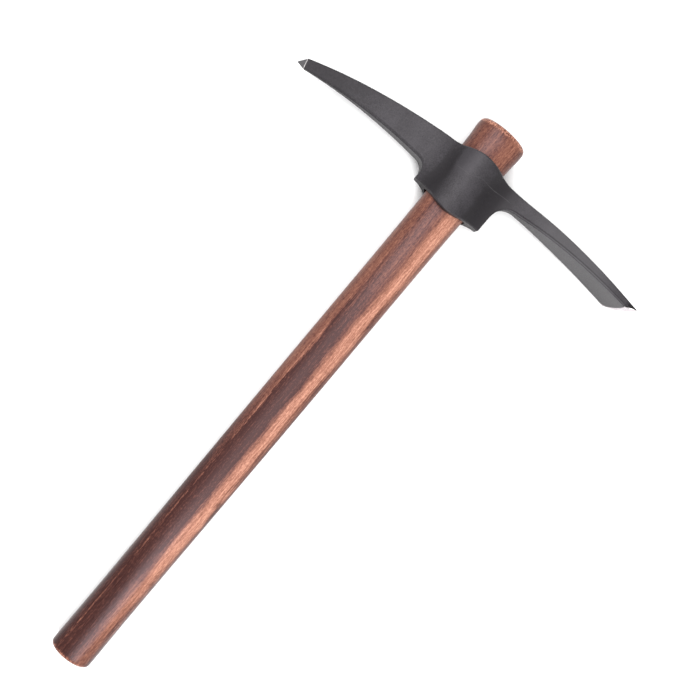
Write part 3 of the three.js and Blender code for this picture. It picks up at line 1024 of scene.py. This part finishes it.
def painted_shade_and_highlight(f):
    """Painted shade in the hollows by the cheek and at the pick's end; a painted highlight on the cheek's
    top.
    """
    pick_painted_shade = f.between(f.across, *PICK_PAINTED_SHADE, PICK_PAINTED_SHADE_FADE)
    pick_painted_shade = f.product(pick_painted_shade, f.ramp(f.along, *PICK_PAINTED_SHADE_RUN))
    adze_painted_shade = f.product(f.ramp(f.across, *ADZE_PAINTED_SHADE_RUN), f.ramp(f.across, *ADZE_PAINTED_SHADE_END_RUN))
    # A painted highlight on the cheek's upper part
    cheek = f.product(f.between(f.across, *CHEEK_PAINTED_HIGHLIGHT, CHEEK_PAINTED_HIGHLIGHT_FADE), f.ramp(f.along, *CHEEK_PAINTED_HIGHLIGHT_RUN))
    return f.sum(pick_painted_shade, adze_painted_shade, cheek, f.ramp(f.across, *PICK_END_PAINTED_SHADE_RUN))


def wear_and_painted_light(f, speckle, flash):
    """Paler scale: worn edges with a painted highlight, painted light on the adze's faces, scratches and the
    flash line.
    """
    edges = f.product(f.attribute("burnish_and_highlight"), f.ramp(speckle, *BURNISH_AND_HIGHLIGHT_RUN))
    from_middle = f.math("ABSOLUTE", f.through)
    # Painted light on the adze's faces
    faces = f.product(f.ramp(f.across, *ADZE_PAINTED_LIGHT_RUN), f.ramp(from_middle, *ADZE_PAINTED_LIGHT_WIDTH_RUN))
    scratches = f.ramp(f.noise(**SCRATCHES), *SCRATCH_RUN)
    return f.largest(edges, faces, scratches, flash)


def satin_roughness(f, speckle, thick):
    """The scale's roughness. It is duller beside the cheek, on the adze's darker corner flecks and at the
    pick's end.
    """
    fold = f.product(f.ramp(f.across, *FOLD_RUN), f.ramp(f.across, *FOLD_END_RUN))
    dull = f.sum(fold, f.product(thick, CORNER_FLECK_DULLNESS), f.ramp(f.across, *PICK_END_DULL_RUN))
    return f.sum(f.ramp(speckle, *SATIN_RUN), dull)


def blackened_steel():
    f = ToolFinish("blackened_steel")
    grain = f.noise(**SCALE_GRAIN)
    cloud = f.noise(**SCALE_CLOUD)
    speckle = f.noise(**SCALE_SPECKLE)
    grind_lines = f.noise(**GRIND_LINES)
    beyond_point = f.sum(f.attribute("tip"), f.product(speckle, POINT_WANDER))
    ground = ground_steel(f, speckle, beyond_point)
    flash = flash_line(f, cloud)
    # The darker flecks on the adze's near corner
    thick = dark_corner_flecks(f, speckle)
    tone = f.sum(cloud, f.swing(grain, GRAIN_SWING))
    # The tone loses the darker corner flecks and the painted shade, and gains the painted highlight
    tone = f.math("SUBTRACT", tone, f.sum(thick, painted_shade_and_highlight(f)))
    scale = f.mix(f.ramp(tone, *SCALE_TONE_RUN), DARK_SCALE, LIGHT_SCALE)
    # Paler where worn, and where light is painted on the edges and the adze's faces
    rubbed_and_lit = f.mix(wear_and_painted_light(f, speckle, flash), scale, RUBBED_AND_LIT_SCALE)
    pointed = f.mix(f.ramp(beyond_point, *POINT_START_RUN), rubbed_and_lit, POINT_SCALE)
    bright = f.mix(f.ramp(grind_lines, *GRIND_TONE_RUN), DARK_GRIND, BRIGHT_GRIND)
    swell = f.bump(f.noise(**FORGED_SWELL), SWELL_RELIEF)
    satin = f.bump(grain, GRAIN_RELIEF, f.bump(flash, FLASH_RELIEF, swell))
    f.set(
        Base_Color=f.mix(ground, pointed, bright),
        Metallic=ground,
        Roughness=f.mix(ground, satin_roughness(f, speckle, thick), GROUND_ROUGHNESS, "FLOAT"),
        Specular_IOR_Level=STEEL_REFLECTION,
        Specular_Tint=STEEL_SHEEN,
        Normal=f.mix(ground, satin, f.bump(grind_lines, GRIND_RELIEF), "VECTOR"),
    )
    return f.material


# Parts of the wood's finish
def growth_rings(f, flames):
    """Rings about a heart outside the handle: long grain on its sides, arcs on its two ends."""
    turns = f.product(f.from_line(*RING_HEART), RING_RADIANS)
    return f.math("SINE", f.sum(turns, f.swing(flames, RING_WANDER)))


def pale_seam(f, streaks, pores):
    """A broken pale seam on the pick's side, from the grip to past the middle."""
    seam = f.between(f.sum(f.across, f.swing(streaks, SEAM_WANDER)), *SEAM, SEAM_FADE)
    return f.product(seam, f.ramp(pores, *SEAM_PORE_RUN), f.ramp(f.along, *SEAM_RUN))


def burnt_skin(f, flames, streaks, pores):
    """How light the flame left the wood: a wide band on the adze's side, a narrow strip on the pick's."""
    side = f.sum(f.across, f.swing(flames, FLAME_WANDER), f.swing(streaks, STREAK_WANDER))
    near_middle = f.ramp(f.math("ABSOLUTE", side), *MIDDLE_DARKENING_RUN)
    # Darker along the middle line, between 205 and 265 mm
    middle_darkening = f.product(f.between(f.along, *MIDDLE_DARKENING, MIDDLE_DARKENING_FADE), near_middle)
    charred = f.sum(f.ramp(f.along, *CHARRED_RUN), f.swing(flames, CHARRED_SWING), middle_darkening)
    band = f.product(f.ramp(f.along, *BAND_RUN), f.ramp(f.along, *BAND_TOP_RUN))
    strip = f.product(f.ramp(f.along, *STRIP_RUN), f.ramp(f.along, *STRIP_TOP_RUN))
    in_band = f.product(f.ramp(side, *BAND_INNER_RUN), f.ramp(side, *BAND_OUTER_RUN))
    skin = f.mix(in_band, charred, band, "FLOAT")
    skin = f.mix(f.between(side, *STRIP, STRIP_FADE), skin, strip, "FLOAT")
    return f.sum(skin, pale_seam(f, streaks, pores))


def handle_ends(f):
    """The share of the end faces at a place, and of the rims round them."""
    to_end = f.math("MINIMUM", f.along, f.math("SUBTRACT", HANDLE_LENGTH * MILLIMETRES, f.along))
    to_rim = f.math("SUBTRACT", to_end, f.ramp(f.along, *MIDDLE_SPAN, 0, TOP_RIM_EXTRA))
    halves = (BUTT_WIDTH / 2 * MILLIMETRES, FLARE_WIDTH / 2 * MILLIMETRES)
    to_side = f.math("SUBTRACT", f.ramp(f.along, *MIDDLE_SPAN, *halves), f.from_line(flatness=FLATNESS))
    face = f.product(f.ramp(to_end, *FACE_DEPTH_RUN), f.ramp(to_side, *FACE_INSET_RUN))
    rim = f.product(f.ramp(to_rim, *RIM_RUN), f.ramp(to_side, *RIM_RUN))
    return face, rim


def lacquered_hickory():
    f = ToolFinish("lacquered_hickory")
    fibres = f.noise(**FIBRES)
    pores = f.noise(**PORES)
    grit = f.noise(**GRIT)
    streaks = f.noise(**STREAKS)
    flames = f.noise(**FLAMES)
    rings = growth_rings(f, flames)
    face, rim = handle_ends(f)
    end_grain = f.sum(f.swing(flames, END_FLAME_SWING), f.product(rings, END_RING_SWING), END_TONE)
    skin = f.mix(face, burnt_skin(f, flames, streaks, pores), end_grain, "FLOAT")
    worn_rim = f.product(rim, f.ramp(f.noise(**FLECKS), *FLECK_RUN))
    grain = f.sum(f.swing(fibres, FIBRE_SWING), f.swing(grit, GRIT_SWING), f.swing(streaks, STREAK_SWING))
    grain = f.sum(grain, f.product(rings, RING_SWING))
    tone = f.math("SUBTRACT", f.sum(f.largest(skin, worn_rim), grain), f.ramp(pores, *DASH_RUN))
    dull = f.product(f.ramp(f.along, *GRIP_DULL_RUN), f.ramp(f.along, *NECK_DULL_RUN))
    f.set(
        Base_Color=f.colours(tone, WOOD_COLOURS),
        Roughness=f.sum(f.ramp(fibres, *LACQUER_RUN), dull),
        Specular_IOR_Level=WOOD_REFLECTION,
        Specular_Tint=WOOD_SHEEN,
        Coat_Weight=LACQUER_WEIGHT,
        Coat_Roughness=LACQUER_ROUGHNESS,
        Normal=f.bump(grit, GRIT_RELIEF),
    )
    return f.material


def dress(obj, material, body, node):
    obj.data.materials.clear()
    obj.data.materials.append(material)
    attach(obj, body)
    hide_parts(node)


def overhead_lamp():
    """A long soft box over the tool, nearly upright in the picture."""
    data = bpy.data.lights.new("overhead_lamp", "AREA")
    data.shape = "RECTANGLE"
    data.size = LAMP_LENGTH
    data.size_y = LAMP_WIDTH
    data.energy = LAMP_ENERGY
    lamp = bpy.data.objects.new("overhead_lamp", data)
    bpy.context.scene.collection.objects.link(lamp)
    lamp.location = LAMP_PLACE
    lamp.rotation_euler = (0, 0, math.radians(LAMP_TURN_DEGREES))


def set_camera():
    data = bpy.data.cameras.new("camera")
    data.lens = CAMERA_LENS
    camera = bpy.data.objects.new("camera", data)
    bpy.context.scene.collection.objects.link(camera)
    bpy.context.scene.camera = camera
    eye, aim = TOOL @ Vector(CAMERA_EYE), TOOL @ Vector(CAMERA_AIM)
    tilt = math.radians(CAMERA_TILT_DEGREES)
    upward = TOOL.to_3x3() @ Vector((math.cos(tilt), math.sin(tilt), 0))
    back = (eye - aim).normalized()
    right = upward.cross(back).normalized()
    turn = Matrix((right, back.cross(right), back)).transposed()
    camera.matrix_world = Matrix.LocRotScale(eye, turn, None)


def seen(tree):
    """One for the rays that show the background: straight to the camera, mirrored or through glass."""
    rays = tree.add("ShaderNodeLightPath").node.outputs
    return tree.largest(rays["Is Camera Ray"], rays["Is Glossy Ray"], rays["Is Transmission Ray"])


def lay_floor():
    """A pale floor under the tool, which fades to the white of the room further out."""
    bm = bmesh.new()
    bmesh.ops.create_grid(bm, x_segments=1, y_segments=1, size=FLOOR_REACH)
    floor = mesh_object("floor", bm)
    f = Finish("pale_floor")
    f.set(Base_Color=FLOOR_COLOUR, Roughness=FLOOR_ROUGHNESS, Specular_IOR_Level=0)
    place = f.add("ShaderNodeTexCoord").node.outputs["Object"]
    share = f.product(f.ramp(f.length(place), *FLOOR_FADE), seen(f))
    white = f.add("ShaderNodeEmission", {"Color": WHITE})
    surface = f.add("ShaderNodeMixShader", {0: share, 1: f.shader.outputs[0], 2: white})
    f.tree.links.new(surface, f.tree.nodes["Material Output"].inputs["Surface"])
    floor.data.materials.append(f.material)


def light_room():
    world = bpy.data.worlds.new("room")
    bpy.context.scene.world = world
    world.use_nodes = True
    t = Tree(world.node_tree)
    strength = t.largest(seen(t), ROOM_STRENGTH)
    background = t.tree.nodes["Background"]
    background.inputs["Color"].default_value = WHITE
    t.tree.links.new(strength, background.inputs["Strength"])
    overhead_lamp()


bpy.context.scene.view_settings.view_transform = "Standard"
set_camera()
lay_floor()
light_room()
hickory = lacquered_hickory()
dress(forged_head(), blackened_steel(), "head", "head")
dress(turned_handle(hickory), hickory, "handle", "handle")
